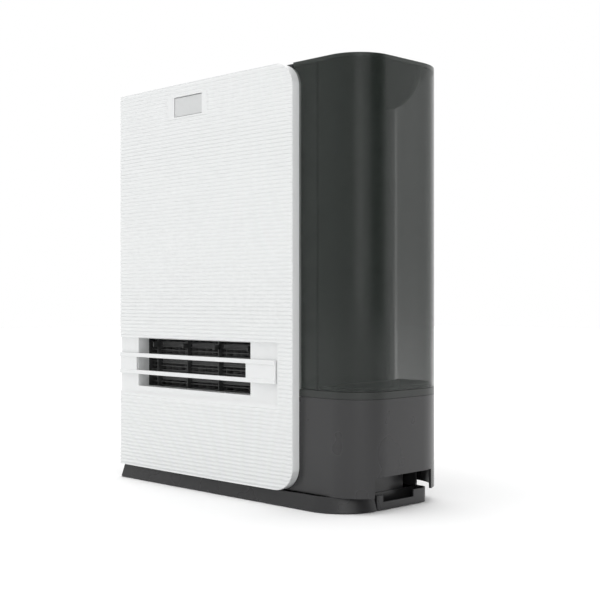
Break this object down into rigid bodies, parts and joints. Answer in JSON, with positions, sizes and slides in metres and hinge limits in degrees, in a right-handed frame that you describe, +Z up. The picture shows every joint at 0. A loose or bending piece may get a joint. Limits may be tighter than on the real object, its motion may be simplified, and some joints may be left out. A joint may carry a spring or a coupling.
{
  "type": "humidifying fan heater",
  "caption": "Upright fan heater with a ribbed white front, a low barred outlet, a lift-off smoke water tank on the right and a pull-out water tray in a dark base.",
  "frame": {"origin": "centre of the footprint, on the floor", "axes": "+Z up, the front panel and outlet face -Y, the water tank is on the +X side"},
  "size_m": [0.359, 0.1544, 0.4303],
  "materials": {
    "white_plastic": "satin white moulding",
    "grey_plastic": "fine matt grain",
    "dark_plastic": "satin",
    "black_plastic": "satin",
    "smoke_plastic": "clear smoke, polished",
    "window_plastic": "polished",
    "steel": "plated",
    "aluminium": "mill finish",
    "dark_aluminium": "black coated",
    "rubber": "matt",
    "circuit_board": "solder mask",
    "cream_plastic": "heat-proof moulding",
    "wick_cloth": "pleated non-woven"
  },
  "bodies": {
    "base": {"front_panel": "white_plastic", "outlet_louvre": "white_plastic", "plinth": "grey_plastic", "main_housing": "grey_plastic", "rear_cover": "grey_plastic", "top_cover": "grey_plastic", "fan_casing": "grey_plastic", "valve_well": "grey_plastic", "outlet_guard": "black_plastic", "power_relay": "black_plastic", "tip_over_switch": "black_plastic", "cord_gland": "black_plastic", "display_window": "window_plastic", "plinth_screw_1": "steel", "plinth_screw_2": "steel", "plinth_screw_3": "steel", "plinth_screw_4": "steel", "fan_motor": "steel", "thermostat": "steel", "thermal_fuse": "steel", "heat_sink": "aluminium", "heating_element_1": "dark_aluminium", "heating_element_2": "dark_aluminium", "heating_element_3": "dark_aluminium", "rubber_foot_1": "rubber", "rubber_foot_2": "rubber", "rubber_foot_3": "rubber", "rubber_foot_4": "rubber", "display_board": "circuit_board", "button_board": "circuit_board", "control_board": "circuit_board", "room_sensor": "circuit_board", "heater_frame": "black_plastic", "shaft_bush": "cream_plastic", "terminal_block": "cream_plastic", "transformer": "cream_plastic"},
    "tank": {"tank_shell": "smoke_plastic", "tank_foot": "dark_plastic", "tank_grip": "dark_plastic"},
    "cap": {"tank_cap": "white_plastic", "cap_seal": "rubber"},
    "valve": {"valve_plunger": "white_plastic", "valve_spring": "steel"},
    "tray": {"water_tray": "grey_plastic", "wick_frame": "grey_plastic", "wick_filter": "wick_cloth"},
    "fan": {"fan_drum": "black_plastic", "fan_shaft": "steel"},
    "air_filter": {"filter_frame": "grey_plastic", "filter_mesh": "black_plastic"},
    "power_button_body": {"power_button": "white_plastic"},
    "heat_button_body": {"heat_button": "white_plastic"},
    "humidify_button_body": {"humidify_button": "white_plastic"},
    "timer_button_body": {"timer_button": "white_plastic"},
    "temp_down_button_body": {"temp_down_button": "white_plastic"},
    "temp_up_button_body": {"temp_up_button": "white_plastic"}
  },
  "joints": [
    {"name": "tank_lift", "type": "slide", "parent": "base", "child": "tank", "axis": [0, 0, 1], "range_m": [0, 0.35]},
    {"name": "tank_cap_turn", "type": "hinge", "parent": "tank", "child": "cap", "pos_m": [0.147, 0.0022, 0.09], "axis": [0, 0, 1], "range_deg": [0, 60]},
    {"name": "valve_slide", "type": "slide", "parent": "cap", "child": "valve", "axis": [0, 0, 1], "range_m": [0, 0.004], "stiffness_N_per_m": 100, "springref_m": -0.002},
    {"name": "tray_slide", "type": "slide", "parent": "base", "child": "tray", "axis": [1, 0, 0], "range_m": [0, 0.16]},
    {"name": "fan_spin", "type": "hinge", "parent": "base", "child": "fan", "pos_m": [0, 0.0215, 0.15], "axis": [1, 0, 0], "continuous": true},
    {"name": "air_filter_pull", "type": "slide", "parent": "base", "child": "air_filter", "axis": [0, 1, 0], "range_m": [0, 0.05]},
    {"name": "power_button_press", "type": "slide", "parent": "base", "child": "power_button_body", "axis": [0, 0, -1], "range_m": [0, 0.0012], "stiffness_N_per_m": 400},
    {"name": "heat_button_press", "type": "slide", "parent": "base", "child": "heat_button_body", "axis": [0, 0, -1], "range_m": [0, 0.0012], "stiffness_N_per_m": 400},
    {"name": "humidify_button_press", "type": "slide", "parent": "base", "child": "humidify_button_body", "axis": [0, 0, -1], "range_m": [0, 0.0012], "stiffness_N_per_m": 400},
    {"name": "timer_button_press", "type": "slide", "parent": "base", "child": "timer_button_body", "axis": [0, 0, -1], "range_m": [0, 0.0012], "stiffness_N_per_m": 400},
    {"name": "temp_down_button_press", "type": "slide", "parent": "base", "child": "temp_down_button_body", "axis": [0, 0, -1], "range_m": [0, 0.0012], "stiffness_N_per_m": 400},
    {"name": "temp_up_button_press", "type": "slide", "parent": "base", "child": "temp_up_button_body", "axis": [0, 0, -1], "range_m": [0, 0.0012], "stiffness_N_per_m": 400}
  ]
}
